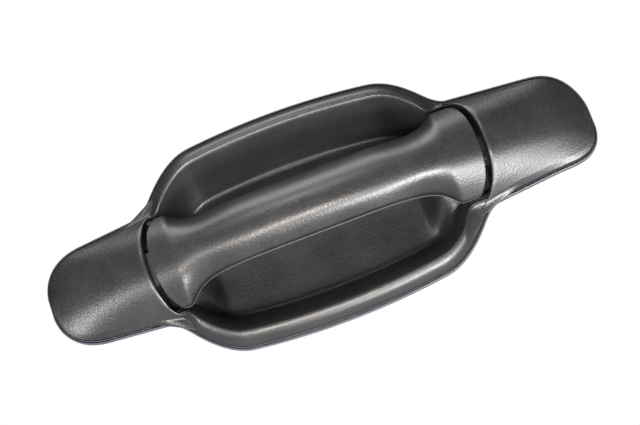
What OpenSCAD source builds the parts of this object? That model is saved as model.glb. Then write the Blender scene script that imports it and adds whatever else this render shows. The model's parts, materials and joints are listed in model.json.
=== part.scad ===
// Exterior pull-strap door handle for the left-hand door of a pickup.
// X runs along the handle, Z is up, -Y points away from the door, and the
// door skin is the plane y = 0. The origin is midway between the two studs.

/* [Bezel outline] */
// Distance from the middle to each wing tip
tip_x = 132.8; // [130:0.2:140]
// Half height of a wing beside the grip
wing_half_h = 25.8; // [25:0.1:27]
// Half height of the finger bowl's flange
bowl_half_h = 52; // [48:0.5:54]
// Reach of the bowl's flank towards the hinge, at the level of the axis
flank_left = 98.2; // [97:0.2:100]
// Reach of the bowl's flank towards the pulled end, at the level of the axis
flank_right = 90.7; // [89:0.1:92]
// Steepness of the bowl's flanks
flank_slope = 1.36; // [1.2:0.02:1.4]
// Highest place of the bowl's arched edge along X
bowl_x = -7.4; // [-10:0.2:-4]
// Height of the bowl's middle below the studs
bowl_drop = 0.9; // [0:0.1:2]
// Rise of the wing and grip axis per millimetre of X
axis_slope = 0.018; // [0.01:0.002:0.02]

/* [Crown and depth] */
// Height of the bezel's outer edge above the door
edge_h = 4.6; // [4.2:0.1:5]
// Height of the crest at the middle of the grip
crest_h = 27; // [26:0.5:30]
// Fall of the crest with the square of X
crest_fall = 0.0012; // [0.0011:0.00005:0.0013]
// Depth of the finger bowl behind the door skin
bowl_depth = 22; // [18:0.5:24]
// Depth of the two saddles under the grip's ends
saddle_depth = 6; // [5:0.5:7]
// Wall of the moulded parts
wall = 2.5; // [2:0.1:2.6]
// Thickness of the rubber gasket
gasket_t = 2.6; // [2:0.1:2.8]

/* [Grip] */
// Half height of the grip at its middle
grip_half_h = 14.8; // [14:0.2:16]
// Half height of the grip's flared ends
grip_end_half_h = 22.8; // [22:0.1:22.8]
// Thickness of the grip, front to back
grip_t = 16; // [15:0.5:17]
// Gap between the grip and the left-hand wing
gap_left = 1.9; // [1.9:0.1:2.5]
// Gap between the grip and the right-hand wing
gap_right = 2.1; // [2:0.1:3]

/* [Hinge and crank] */
// Radius of the hinge pin
hinge_pin_r = 2; // [1.8:0.1:2.2]
// Radius of the crank pin
crank_pin_r = 2.5; // [2.2:0.1:2.7]
// Length of the crank's input arm
input_arm = 30; // [29:0.5:31]
// Length of the crank's output arm
output_arm = 18; // [16:0.5:20]
// Angle from vertical at which the input arm rests
crank_rest_angle = 25; // [24:0.5:26]
// Radius of the latch rod that the clip takes
rod_r = 2.25; // [2:0.05:2.5]
// Radial running clearance of each pin in its bush
run_gap = 0.05; // [0.03:0.01:0.08]

/* [Mounting] */
// Distance of each mounting stud from the middle
stud_x = 108; // [106:0.5:109]
// Radius of each mounting stud
stud_r = 3; // [2.5:0.5:3]
// How far the studs reach through the door skin
stud_reach = 20; // [15:1:25]

/* [Hidden] */
$fn = 48;

plastic = [0.20, 0.20, 0.21];
inner_plastic = [0.10, 0.10, 0.11];
rubber = [0.13, 0.14, 0.16];
steel = [0.66, 0.67, 0.68];
zinc = [0.56, 0.57, 0.58];
spring_steel = [0.42, 0.43, 0.45];
acetal = [0.86, 0.85, 0.80];

// Outline
wing_round = [21.6, 18.8];
wing_taper = 0.094;
wing_ref_x = 80;
tip_droop = 5;
droop_x = 108;
arch_fall = 0.0014;
flank_skew = 2;
corner_blend = 17;
bowl_tilt = 0.008;
shoulder_blend = 6.5;
seat_w = 4.2;
gasket_out = 1.2;
gasket_in = 3.3;
tip_band = 5;

// Crown
crown_power = 2.4;
tip_roll = 16;
crease_reach = 7;
crease_share = [0.15, 0.4];
crease_x = [-60, 20];

// Flange, saddle and bowl
flange_w = 6.5;
flange_h = 9.5;
strip_w = 2.9;
recess_half = 24.4;
bowl_wall_w = 14;
ledge_h = 4.1;
ledge_w = 3.3;
floor_x = -5.5;
floor_in = 50;
floor_out = 64;
flange_late = 14;

// Seams between the wings and the grip
seam_left = -82.9;
seam_right = 80.9;
end_round = 12;
end_power = 2.7;
end_pad = 1.6;
bulge_end_x = 118;
draft = 0.3;

// Grip
crown_fit = 0.875;
grip_edge_h = 14;
rim_end_h = 6.4;
back_power = 5;
parting = 0.2;
rim_mid_h = 15;
back_end_h = 4.4;
flare_left = [-69.8, -33];
flare_right = [62.5, 26];
flare_power = 5.5;
flare_blend = 0.15;
grip_rise = 1.4;

// Hinge
hinge_x = -88;
hinge_y = -8;
hinge_z = axis_slope * hinge_x;
barrel_half = 8.9;
barrel_r = 4.2;
bush_flange_t = 0.7;
hinge_bush_r = hinge_pin_r + 0.8;
ear_gap = 0.3;
ear_t = 2.6;
ear_in = barrel_half + bush_flange_t + ear_gap;
ear_out = ear_in + ear_t;

// Lever arm and hook
arm_r = 162.5;
arm_t = 5;
arm_z = [-4, 8];
arm_y = [-5.5, 48];
slot_end_x = 80.8;
hook_t = 2;
fork_y = [36, 46];
fork_low = -13.5;

// Crank
crank_y = 28.3;
crank_z = 19.2;
plate_x = 79;
plate_t = 3;
hub_r = 5;
hub_end = 89.8;
roller_r = 3;
roller_in = 68.2;
weight_r = 5;
weight_arm = 13;
weight_angle = -150;
crank_bush_r = crank_pin_r + 1;
clip_body_r = rod_r + 1.15;

// Brackets
plate_y = [-gasket_t - 3, -gasket_t];
web_x = 90.5;
web_t = 3.5;
web_y = 38;
screw_x = 101.5;
screw_dz = 6.5;
screw_r = 1.35;
right_z = axis_slope * screw_x;
shoulder_r = stud_r + 0.4;

function mix(a, b, k) = a + (b - a) * k;
function clamp01(u) = min(1, max(0, u));
function smooth(u) = let (k = clamp01(u)) k * k * (3 - 2 * k);
function smax(a, b, k) =
    let (h = max(k - abs(a - b), 0) / k) max(a, b) + h * h * k / 4;
function smin(a, b, k) = -smax(-a, -b, k);
function lean(x) = axis_slope * x
    - tip_droop * pow(clamp01((x - droop_x) / (tip_x - droop_x)), 2.5);
function tip_round(u) = pow(1 - pow(1 - clamp01(u), 2.5), 0.4);

// Half heights of the wings and of the bowl, and the outline that blends them
function wing_half(x) =
    (wing_half_h - wing_taper * (abs(x) - wing_ref_x))
    * tip_round((tip_x + 0.2 - abs(x)) / wing_round[x < 0 ? 0 : 1]);
function bowl_half(x, side) =
    let (arch = bowl_half_h - arch_fall * pow(x - bowl_x, 2),
        left = flank_slope * (x + flank_left),
        right = flank_slope * (flank_right - side * flank_skew - x))
    smin(smin(arch, left, corner_blend), right, corner_blend);
function outline(x, side) = side * smax(
    wing_half(x) + side * lean(x),
    bowl_half(x, side) + side * (bowl_tilt * x - bowl_drop), shoulder_blend);
function outline_slope(x, side) =
    (outline(x + 0.5, side) - outline(x - 0.5, side));

// Crest line and crowned body surface, shared by the wings and the grip
function crest(x) =
    edge_h + (crest_h - crest_fall * x * x - edge_h)
    * (1 - pow(1 - clamp01((tip_x + 4 - abs(x)) / tip_roll), crown_power));
// Share of the crown left at a distance from its axis: rounded, and folded
// along a soft crease below the axis that fades towards the hinge
function crown(x, across, half) =
    let (a = min(abs(across), half),
        share = mix(crease_share[0], crease_share[1],
            smooth((x - crease_x[0]) / (crease_x[1] - crease_x[0]))),
        fold = across < 0 ? share * smooth((half - crease_reach) / 10) : 0,
        past = smax(0, a - crease_reach, 3) / max(0.1, smax(0, half - crease_reach, 3)))
    1 - fold * past - (1 - fold) * pow(a / max(half, 0.01), crown_power);
function body_h(x, z) =
    edge_h + (crest(x) - edge_h) * crown(x, z - lean(x), wing_half(x));

// How much of a place belongs to the bowl: 1 in it, 0 in a saddle. The
// flange keeps its bowl shape further along X than the floor does, and the
// back of a wall of thickness t further than its front.
function in_bowl(x, k, t) = let (late = t + flange_late * (1 - smooth((k - 4) / 5)))
    1 - smooth((abs(x - floor_x) - floor_in - late) / (floor_out - floor_in - late / 3));

// The grip's ends are rounded like a flat arch, and the seams follow them at
// a distance of pad. The bow fades out towards the tips and the bowl.
function bow_weight(c) = let (seam = c < 0 ? -seam_left : seam_right)
    abs(c) > seam ? clamp01((bulge_end_x - abs(c)) / (bulge_end_x - seam))
    : smooth((abs(c) - floor_in + 4) / (seam - floor_in + 4));
function bow(c, reach, pad) =
    let (u = min(0.995, abs(reach) / (grip_end_half_h + 0.3 + pad)))
    (c < 0 ? 1 : -1) * bow_weight(c) * (end_round + pad)
    * (1 - pow(1 - pow(u, end_power), 1 / end_power));

// Rows run from the lower edge to the middle and on to the upper edge. A
// station is [distance in from the edge, height] at one row.
dish_rows = 12;
strip_rows = 3;
function wall_part(k) = clamp01((k - strip_rows) / 5);

// The strip beside a saddle ends at the recess that the grip's end fills
function strip_end(z_half) = max(min(strip_w, z_half / 3), z_half - recess_half);
function saddle_front(k, x, z_half, side) =
    let (w = strip_end(z_half), deep = w + ledge_w + 3 * draft)
    k <= strip_rows ? let (d = w * k / strip_rows)
        [d, strip_h(x, z_half - d, side)]
    : k == 4 ? [w + draft, ledge_h]
    : k == 5 ? [w + ledge_w, ledge_h]
    : k == 6 ? [deep, -saddle_depth]
    : [mix(deep, z_half, (k - 6) / (dish_rows - 6)), -saddle_depth];
function strip_h(x, reach, side) =
    edge_h + (crest(x) - edge_h) * crown(x, side * reach, wing_half_h);
function bowl_front(k, x, z_half) =
    k <= strip_rows ? let (u = k / strip_rows)
        [flange_w * u, edge_h + (flange_h - edge_h) * (1 - pow(1 - u, 2))]
    : k <= 8 ? [flange_w + bowl_wall_w * wall_part(k),
        flange_h - (flange_h + bowl_depth) * smooth(wall_part(k))]
    : [mix(flange_w + bowl_wall_w, z_half, (k - 8) / (dish_rows - 8)),
       -bowl_depth];
function saddle_back(k, z_half) =
    k <= strip_rows ? [seat_w * k / strip_rows, gasket_t]
    : [mix(seat_w + draft, z_half, (k - 4) / (dish_rows - 4)),
       -saddle_depth - wall];
function bowl_back(k, z_half) =
    k <= strip_rows ? [seat_w * k / strip_rows, gasket_t]
    : k <= 8 ? [seat_w + bowl_wall_w * wall_part(k),
        gasket_t - (gasket_t + bowl_depth + wall) * smooth(wall_part(k))]
    : [mix(seat_w + bowl_wall_w, z_half, (k - 8) / (dish_rows - 8)),
       -bowl_depth - wall];

// One point of the bezel's front (t = 0) or back (t = wall) at column c
function bezel_point(c, row, wing, t, shift) =
    let (side = row < dish_rows ? -1 : 1,
        k = dish_rows - abs(row - dish_rows),
        shrink = min(1, wing_half(c) / 14),
        near = t == 0 ? saddle_front(k, c, wing_half(c), side)
            : saddle_back(k, wing_half(c)),
        x = c + shift + bow(c, wing_half_h - near[0], end_pad),
        half = side * (outline(x, side) - lean(x)),
        m = in_bowl(x, k, t),
        s = t == 0 ? saddle_front(k, x, half, side) : saddle_back(k, half),
        b = t == 0 ? bowl_front(k, x, half) : bowl_back(k, half),
        slant = sqrt(1 + pow(outline_slope(x, side), 2)),
        steep = mix(slant, 1, k / dish_rows),
        d = min(half, wing ? mix(half * k / dish_rows, s[0], shrink * shrink)
            : mix(t == 0 ? s[0] : s[0] * steep, b[0] * steep, m)),
        z = outline(x, side) - side * d,
        h = !wing ? mix(s[1], b[1], m)
            : t == 0 ? body_h(x, z)
            : k <= strip_rows || abs(x) > tip_x - seat_w ? gasket_t
            : max(gasket_t, body_h(x, z) - t))
    [x, -h, z];

// Columns: [place along X, belongs to a wing, extra shift of the back skin]
tip_steps = [0, 1, 2.8, 5.6, 9.5, 14.5, 21, 29, 38];
left_wing = [for (t = tip_steps) [t - tip_x, true, 0],
    [seam_left - draft, true, -wall]];
right_wing = [[seam_right + draft, true, wall],
    for (k = [len(tip_steps) - 1:-1:0]) [tip_x - tip_steps[k], true, 0]];
saddle_steps = [0, 5, 9.5, 13.5, 17, 20.5, 24, 27.5, 31.5];
dish = concat(
    [for (t = saddle_steps) [seam_left + t, false, t == 0 ? -wall : 0]],
    [for (x = [-42:12:42]) [x, false, 0]],
    [for (k = [len(saddle_steps) - 1:-1:0])
        [seam_right - saddle_steps[k], false, saddle_steps[k] == 0 ? wall : 0]]);
columns = concat(left_wing, dish, right_wing);

function bezel_grid(t) = [for (col = columns)
    [for (row = [0:2 * dish_rows])
        bezel_point(col[0], row, col[1], t, t == 0 ? 0 : col[2])]];

// Triangles of one grid cell. The cells at a grid's corners are split so that
// no triangle has all its points on the edge.
function cell(i, j, m, n) = let (a = i * n + j)
    (i == 0 && j == n - 2) || (i == m - 2 && j == 0)
    ? [[a, a + 1, a + n], [a + 1, a + n + 1, a + n]]
    : [[a, a + 1, a + n + 1], [a, a + n + 1, a + n]];

// Closed solid between two grids of equal size that share their edge rows
module closed_shell(outer, inner) {
    m = len(outer);
    n = len(outer[0]);
    pts = concat([for (r = outer) each r], [for (r = inner) each r]);
    rim = concat([for (i = [0:m - 2]) i * n],
        [for (j = [0:n - 2]) (m - 1) * n + j],
        [for (i = [m - 1:-1:1]) i * n + n - 1],
        [for (j = [n - 1:-1:1]) j]);
    faces = concat(
        [for (i = [0:m - 2], j = [0:n - 2]) each cell(i, j, m, n)],
        [for (i = [0:m - 2], j = [0:n - 2], f = cell(i, j, m, n))
            [f[2], f[1], f[0]] + [m * n, m * n, m * n]],
        [for (k = [0:len(rim) - 1])
            let (a = rim[k], b = rim[(k + 1) % len(rim)], w = m * n)
            each [[a, b, b + w], [a, b + w, a + w]]]);
    polyhedron(points = pts, faces = faces, convexity = 8);
}

// A cylinder along X or along Z, from one station to another
module x_bar(r, from, to, y, z) {
    translate([from, y, z]) rotate([0, 90, 0]) cylinder(r = r, h = to - from);
}
module y_bar(r, from, to, x, z) {
    translate([x, from, z]) rotate([-90, 0, 0]) cylinder(r = r, h = to - from);
}
module z_bar(r, from, to, x, y) {
    translate([x, y, from]) cylinder(r = r, h = to - from);
}
// A block from its low corner to its high corner
module block(low, high) {
    translate(low) cube(high - low);
}

// Bezel
module screw_places() {
    for (side = [-1, 1], dz = [-screw_dz, screw_dz])
        translate([side * screw_x, 0, side * right_z + dz]) children();
}
module bezel() {
    boss_top = 12;
    color(plastic) difference() {
        union() {
            closed_shell(bezel_grid(0), bezel_grid(wall));
            screw_places() y_bar(3, -boss_top, plate_y[0], 0, 0);
        }
        screw_places() y_bar(screw_r + 0.05, -boss_top + 1, plate_y[0] + 1, 0, 0);
        // Window for the hinge arm, and slot for the lever arm
        block([seam_left - wall - 1.5, -12.8, hinge_z - ear_out - 0.5],
            [seam_left + 1.5, 1, hinge_z + ear_out + 0.5]);
        block([lever_x(saddle_depth + wall, -arm_t) - 2.2, saddle_depth - 1, arm_z[0] - 1],
            [slot_end_x, saddle_depth + wall + 1, arm_z[1] + 1]);
        for (z = bumper_z) y_bar(1.55, saddle_depth - 1, saddle_depth + wall + 1,
            bumper_x, z);
    }
}
function lever_x(y, across) =
    hinge_x + sqrt(pow(arm_r + across / 2, 2) - pow(y - hinge_y, 2));

// Gasket
function gasket_edge(x, side, out) =
    let (s = outline_slope(x, side), n = sqrt(1 + s * s))
    [x - side * out * s / n, outline(x, side) + side * out / n];
function gasket_outline(out, tip) = concat(
    [for (x = outline_xs(tip)) gasket_edge(x, 1, out)],
    [for (k = [len(outline_xs(tip)) - 1:-1:0])
        gasket_edge(outline_xs(tip)[k], -1, out)]);
function outline_xs(tip) = concat(
    [for (u = [0:8:80]) -tip + 34 * (1 - cos(u))],
    [for (x = [-100:4:100]) x],
    [for (u = [80:-8:0]) tip - 34 * (1 - cos(u))]);
module perimeter_gasket() {
    color(rubber) rotate([90, 0, 0]) difference() {
        linear_extrude(gasket_t) polygon(gasket_outline(gasket_out, tip_x));
        translate([0, 0, -1]) linear_extrude(gasket_t + 2)
            polygon(gasket_outline(-gasket_in, tip_x - tip_band));
    }
}

// Grip: half height, crown and rim as functions of the place along X. The
// ends flare out quickly, the edges lift off the bezel more gently, and the
// middle lies a little above the axis.
function flare_u(x) = let (ends = x < 0 ? flare_left : flare_right)
    min(1, (x - ends[0]) / (ends[1] - ends[0]));
function flare(x) = 1 - smin(1, pow(1 - flare_u(x), flare_power), flare_blend);
function lift(x) = smooth(flare_u(x));
function grip_half(x) = mix(grip_end_half_h, grip_half_h, flare(x));
function grip_h(x, across) =
    let (e = mix(edge_h, grip_edge_h, lift(x)),
        w = mix(wing_half_h - 0.2, grip_half_h / crown_fit, flare(x)))
    e + (crest(x) - e) * crown(x, across, w);
function rim_h(x) = mix(rim_end_h, rim_mid_h, lift(x));
function back_h(x, across) =
    let (low = max(mix(back_end_h, crest(x) - grip_t, lift(x)), back_end_h),
        rim = rim_h(x) - parting)
    rim - (rim - low)
    * (1 - pow(min(1, abs(across) / grip_half(x)), back_power));

grip_start = seam_left + gap_left;
grip_end = seam_right - gap_right;
grip_steps = [0.3, 1.5, 3.5, 6, 8.5, 11, 14, 17.5, 21.5, 26, 33];
function grip_columns(inset) = concat(
    [grip_start + inset],
    [for (t = grip_steps) grip_start + inset + t],
    [for (x = [-36:12:36]) x],
    [for (k = [len(grip_steps) - 1:-1:0]) grip_end - inset - grip_steps[k]],
    [grip_end - inset]);
grip_rows = [-1, -0.98, -0.9, -0.76, -0.55, -0.28, 0,
    0.28, 0.55, 0.76, 0.9, 0.98, 1];

// One face of a grip half: which = 0 front, 1 back; inset is the wall
function grip_grid(which, inset) =
    let (cols = grip_columns(inset), m = len(cols) - 1, n = len(grip_rows) - 1)
    [for (i = [0:m]) [for (j = [0:n])
        let (x = cols[i] + bow(cols[i], grip_rows[j] * grip_end_half_h, 0),
            a = grip_rows[j] * (grip_half(x) - inset),
            rise = grip_rise * flare(x),
            edge = i == 0 || i == m || j == 0 || j == n,
            h = edge ? rim_h(x) - which * parting
                : which == 0 ? grip_h(x, a + rise) - inset
                : back_h(x, a) + (inset > 0 ? wall : 0))
        [x, -h, lean(x) + a + rise]]];

grip_screw_x = [-64, 56];
// Height of the seat between the two halves' screw bosses, and of the screw's head
function boss_h(x) = back_h(x, 0) + wall + 1.4;
function head_h(x) = back_h(x, 0) + 1.6;
module grip_cover() {
    color(plastic) difference() {
        union() {
            closed_shell(grip_grid(0, 0), grip_grid(0, wall));
            for (x = grip_screw_x) y_bar(3.2, -crest(x) + wall - 0.8, -boss_h(x), x, lean(x));
        }
        for (x = grip_screw_x)
            y_bar(screw_r + 0.05, -crest(x) + wall + 1, -boss_h(x) + 1, x, lean(x));
        // Notch for the hinge arm
        block([hinge_x, hinge_y - 1.5, hinge_z - barrel_half],
            [grip_start + wall + 2, 0, hinge_z + barrel_half]);
    }
}

module lever_arc(r_in, r_out, ys, zs) {
    intersection() {
        difference() {
            z_bar(r_out, zs[0], zs[1], hinge_x, hinge_y, $fn = 180);
            z_bar(r_in, zs[0] - 1, zs[1] + 1, hinge_x, hinge_y, $fn = 180);
        }
        block([40, ys[0], zs[0] - 1], [100, ys[1], zs[1] + 1]);
    }
}
rivet_y = [26, 32];
rivet_z = 4;
module rivet_places() {
    for (y = rivet_y) translate([hinge_x, hinge_y, rivet_z])
        rotate(asin((y - hinge_y) / arm_r)) translate([arm_r, 0, 0]) children();
}
module grip_back() {
    color(inner_plastic) difference() {
        union() {
            closed_shell(grip_grid(1, wall + 0.3), grip_grid(1, 0));
            for (x = grip_screw_x) y_bar(4.4, -boss_h(x), -back_h(x, 0) - 0.4, x, lean(x));
            block([hinge_x, hinge_y - 1.2, hinge_z - barrel_half + 0.9],
                [hinge_x + 18, -back_end_h - 0.3, hinge_z + barrel_half - 0.9]);
            z_bar(barrel_r, hinge_z - barrel_half, hinge_z + barrel_half,
                hinge_x, hinge_y);
            lever_arc(arm_r - arm_t / 2, arm_r + arm_t / 2, arm_y, arm_z);
        }
        z_bar(hinge_bush_r, hinge_z - 20, hinge_z + 20, hinge_x, hinge_y);
        for (x = grip_screw_x) {
            y_bar(1.9, -crest(x), 0, x, lean(x));
            y_bar(3.2, -head_h(x), 0, x, lean(x));
        }
        rivet_places() x_bar(1.5, -6, 6, 0, 0);
    }
}

module grip_screws() {
    color(steel) for (x = grip_screw_x) {
        y_bar(screw_r, -crest(x) + wall + 1.5, -head_h(x) + 0.1, x, lean(x));
        y_bar(2.9, -head_h(x), -head_h(x) + 1.5, x, lean(x));
    }
}

module hinge_bushes() {
    color(acetal) for (side = [-1, 1])
        translate([hinge_x, hinge_y, hinge_z]) scale_z(side) difference() {
            union() {
                cylinder(r = hinge_bush_r, h = barrel_half);
                translate([0, 0, barrel_half])
                    cylinder(r = barrel_r - 0.4, h = bush_flange_t);
            }
            translate([0, 0, -1])
                cylinder(r = hinge_pin_r + run_gap, h = barrel_half + 3);
            translate([0, 0, -1]) cylinder(r = barrel_r, h = 4);
        }
}
module scale_z(side) {
    if (side > 0) children();
    else mirror([0, 0, 1]) children();
}

module hinge_pin() {
    low = hinge_z - ear_out;
    color(steel) {
        z_bar(hinge_pin_r, low - 1, hinge_z + ear_out + 1.6, hinge_x, hinge_y);
        z_bar(hinge_pin_r + 1, low - 1.4, low, hinge_x, hinge_y);
    }
}
module hinge_pin_clip() {
    top = hinge_z + ear_out;
    color(spring_steel) difference() {
        z_bar(hinge_pin_r + 1.3, top, top + 0.8, hinge_x, hinge_y);
        z_bar(hinge_pin_r, top - 1, top + 2, hinge_x, hinge_y);
        block([hinge_x - 1.2, hinge_y - 5, top - 1], [hinge_x + 1.2, hinge_y, top + 2]);
    }
}

// Hinge bracket: foot plate, two ears and holes for the stud and screws
module hinge_bracket() {
    color(zinc) difference() {
        union() {
            block([-116, plate_y[0], hinge_z - ear_out], [-98, plate_y[1], hinge_z + ear_out]);
            for (z = [hinge_z - ear_out, hinge_z + ear_in]) {
                block([-104, hinge_y - 1, z], [hinge_x, plate_y[1], z + ear_t]);
                z_bar(barrel_r, z, z + ear_t, hinge_x, hinge_y);
            }
        }
        z_bar(hinge_pin_r, hinge_z - 20, hinge_z + 20, hinge_x, hinge_y);
        y_bar(shoulder_r, -10, 10, -stud_x, 0);
        screw_places() y_bar(1.9, -10, 10, 0, 0);
    }
}

// Crank bracket: foot plate, web across the handle and a round pin boss
module crank_bracket() {
    color(zinc) difference() {
        union() {
            block([web_x, plate_y[0], -12], [116, plate_y[1], 14.5]);
            block([web_x, plate_y[0], -14], [web_x + web_t, web_y, 19]);
            x_bar(9, web_x, web_x + web_t, crank_y, crank_z);
            for (z = [-12, 12]) gusset(z);
        }
        x_bar(crank_pin_r, 80, 110, crank_y, crank_z);
        y_bar(shoulder_r, -10, 10, stud_x, 0);
        screw_places() y_bar(1.9, -10, 10, 0, 0);
    }
}
module gusset(z) {
    translate([web_x + web_t, plate_y[1], z]) linear_extrude(2.5)
        polygon([[-0.5, -0.5], [13, -0.5], [13, 0.5], [0, 16], [-0.5, 16]]);
}

module bracket_screws() {
    color(steel) screw_places() {
        y_bar(screw_r, -10.5, plate_y[1], 0, 0);
        y_bar(2.7, plate_y[1], plate_y[1] + 1.8, 0, 0);
    }
}

module mounting_studs() {
    color(steel) for (side = [-1, 1]) {
        y_bar(stud_r, -1, stud_reach, side * stud_x, 0);
        y_bar(shoulder_r, plate_y[0] - 1, 0, side * stud_x, 0);
        y_bar(5, plate_y[0] - 2, plate_y[0], side * stud_x, 0);
    }
}
module stud_seals() {
    color(rubber) for (side = [-1, 1]) difference() {
        y_bar(5.2, -gasket_t, 0, side * stud_x, 0, $fn = 64);
        y_bar(shoulder_r, -gasket_t - 1, 1, side * stud_x, 0);
    }
}

bumper_x = 72.5;
bumper_z = [-13.5, 15.5];
module rest_bumpers() {
    color(rubber) for (z = bumper_z) {
        y_bar(1.5, saddle_depth, saddle_depth + wall, bumper_x, z);
        y_bar(2.3, -back_end_h + 0.5, saddle_depth, bumper_x, z);
        y_bar(2.4, saddle_depth + wall, saddle_depth + wall + 0.9, bumper_x, z);
    }
}

module crank_pin() {
    color(steel) {
        x_bar(crank_pin_r, 76.2, web_x + web_t + 1, crank_y, crank_z);
        x_bar(4, web_x + web_t, web_x + web_t + 1.5, crank_y, crank_z);
    }
}
module crank_pin_clip() {
    color(spring_steel) difference() {
        x_bar(4.4, 77, 77.8, crank_y, crank_z);
        x_bar(crank_pin_r, 76, 79, crank_y, crank_z);
        block([76, crank_y - 1.4, crank_z - 6], [79, crank_y + 1.4, crank_z]);
    }
}

// Torsion spring round the crank's hub, its legs at the web and at the crank
spring_r = 6.5;
wire_r = 0.6;
spring_turns = 3.25;
spring_from = 83;
spring_pitch = 1.7;
spring_steps = 18;
function ring(centre, out, along) = [for (k = [0:5])
    centre + wire_r * (cos(60 * k) * out + sin(60 * k) * along)];
function coil_ring(a) = let (out = [0, cos(a), sin(a)])
    ring([spring_from + spring_pitch * a / 360, crank_y, crank_z] + spring_r * out,
        out, [1, 0, 0]);
module crank_spring() {
    rings = [for (k = [0:spring_turns * spring_steps]) coil_ring(k * 360 / spring_steps)];
    n = len(rings);
    leg_x = spring_from + spring_pitch * spring_turns;
    color(spring_steel) {
        polyhedron(points = [for (r = rings) each r],
            faces = concat([[for (k = [5:-1:0]) k]],
                [for (i = [0:n - 2], k = [0:5]) let (b = (k + 1) % 6)
                    each [[i * 6 + k, i * 6 + b, i * 6 + 6 + b],
                        [i * 6 + k, i * 6 + 6 + b, i * 6 + 6 + k]]],
                [[for (k = [0:5]) (n - 1) * 6 + k]]), convexity = 6);
        x_bar(wire_r, leg_x, web_x, crank_y, crank_z + spring_r);
    }
}

// Steel hook riveted to the lever arm: a curved strap with a fork below
module lever_hook() {
    r_in = arm_r + arm_t / 2;
    color(steel) difference() {
        union() {
            lever_arc(r_in, r_in + hook_t, [22, fork_y[1]], [0, 8]);
            lever_arc(r_in, r_in + hook_t, fork_y, [fork_low, 1]);
        }
        block([55, pin_rest[0] - roller_r - 0.6, fork_low - 1],
            [95, pin_rest[0] + roller_r + 0.6, pin_rest[1] + roller_r + 0.6]);
        rivet_places() x_bar(1.5, -6, 6, 0, 0);
    }
}
pin_rest = [crank_y + input_arm * sin(crank_rest_angle),
    crank_z - input_arm * cos(crank_rest_angle)];

module hook_rivets() {
    head_t = 1.2;
    inner = -arm_t / 2 - 0.05;
    outer = arm_t / 2 + hook_t + 0.03;
    color(steel) rivet_places() {
        x_bar(1.5, inner - 0.5, outer + 0.5, 0, 0);
        x_bar(2.6, outer, outer + head_t, 0, 0);
        x_bar(2.6, inner - head_t, inner, 0, 0);
    }
}

// Bell crank: input arm down to the roller, output arm to the rod, weight lobe
function spoke(r, a) = [crank_y + r * cos(a), crank_z + r * sin(a)];
out_end = spoke(output_arm, crank_rest_angle);
weight_at = spoke(weight_arm, weight_angle);
module crank_spoke(length, angle, w) {
    translate([crank_y, crank_z]) rotate(angle)
        translate([0, -w / 2]) square([length, w]);
}
module crank_disc(at, r) {
    translate(at) circle(r = r);
}
module crank_outline() {
    crank_spoke(input_arm, crank_rest_angle - 90, 8);
    crank_spoke(output_arm, crank_rest_angle, 9);
    crank_spoke(weight_arm, weight_angle, 7);
    crank_disc([crank_y, crank_z], 8.5);
    crank_disc(pin_rest, 4.6);
    crank_disc(out_end, 6.4);
    crank_disc(weight_at, weight_r + 0.8);
}
module bell_crank() {
    color(zinc) difference() {
        union() {
            translate([plate_x, 0, 0]) rotate([90, 0, 90])
                linear_extrude(plate_t) crank_outline();
            x_bar(hub_r, plate_x + plate_t / 2, hub_end, crank_y, crank_z);
        }
        x_bar(crank_bush_r, 70, 100, crank_y, crank_z);
        x_bar(1.6, 70, 100, pin_rest[0], pin_rest[1]);
        x_bar(clip_body_r + run_gap, 70, 100, out_end[0], out_end[1]);
        x_bar(2, 70, 100, weight_at[0], weight_at[1]);
    }
}
module crank_bush() {
    color(acetal) difference() {
        union() {
            x_bar(crank_bush_r, plate_x - 0.8, hub_end, crank_y, crank_z);
            x_bar(hub_r, plate_x - 0.8, plate_x, crank_y, crank_z);
        }
        x_bar(crank_pin_r + run_gap, 70, 100, crank_y, crank_z);
    }
}
module crank_roller() {
    color(acetal) difference() {
        x_bar(roller_r, roller_in, plate_x - 0.3, pin_rest[0], pin_rest[1]);
        x_bar(1.6, 60, 100, pin_rest[0], pin_rest[1]);
    }
}
module roller_pin() {
    color(steel) {
        x_bar(1.6, roller_in - 0.8, plate_x + plate_t + 0.8, pin_rest[0], pin_rest[1]);
        x_bar(2.6, roller_in - 0.8, roller_in, pin_rest[0], pin_rest[1]);
        x_bar(2.6, plate_x + plate_t, plate_x + plate_t + 0.8, pin_rest[0], pin_rest[1]);
    }
}
module counterweight() {
    color(steel) {
        x_bar(weight_r, plate_x + plate_t, plate_x + plate_t + 7, weight_at[0], weight_at[1]);
        x_bar(2, plate_x - 0.6, plate_x + plate_t, weight_at[0], weight_at[1]);
    }
}

// Rod clip: a hollow stub in the crank's eye, and a latch that swings over
clip_latch = 13;
module rod_clip() {
    y = out_end[0];
    z = out_end[1];
    low = z - clip_latch;
    face = plate_x + plate_t + 0.3;
    color(acetal) difference() {
        union() {
            x_bar(clip_body_r, plate_x - 1.4, face + 1, y, z);
            x_bar(5.2, face, face + 3, y, z);
            block([face, y - 2.5, low], [face + 3, y + 2.5, z]);
            z_bar(rod_r + 0.95, low, low + 4, face + 4.2, y);
        }
        x_bar(rod_r, 70, 100, y, z);
        z_bar(rod_r, low - 1, low + 6, face + 4.2, y);
        block([face + 4.2, y - 1.7, low - 1], [face + 10, y + 1.7, low + 6]);
    }
}

bezel();
perimeter_gasket();
hinge_bracket();
crank_bracket();
bracket_screws();
mounting_studs();
stud_seals();
hinge_pin();
hinge_pin_clip();
rest_bumpers();
crank_pin();
crank_pin_clip();
crank_spring();
grip_cover();
grip_back();
hinge_bushes();
grip_screws();
lever_hook();
hook_rivets();
bell_crank();
crank_bush();
crank_roller();
roller_pin();
counterweight();
rod_clip();
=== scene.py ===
"""Looks for the pull-strap door handle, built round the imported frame.

Shape functions work in millimetres in the row frame: X along the handle,
Y into the door, Z up. A height is a distance outwards from the door skin.
"""
import json
import math

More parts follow.
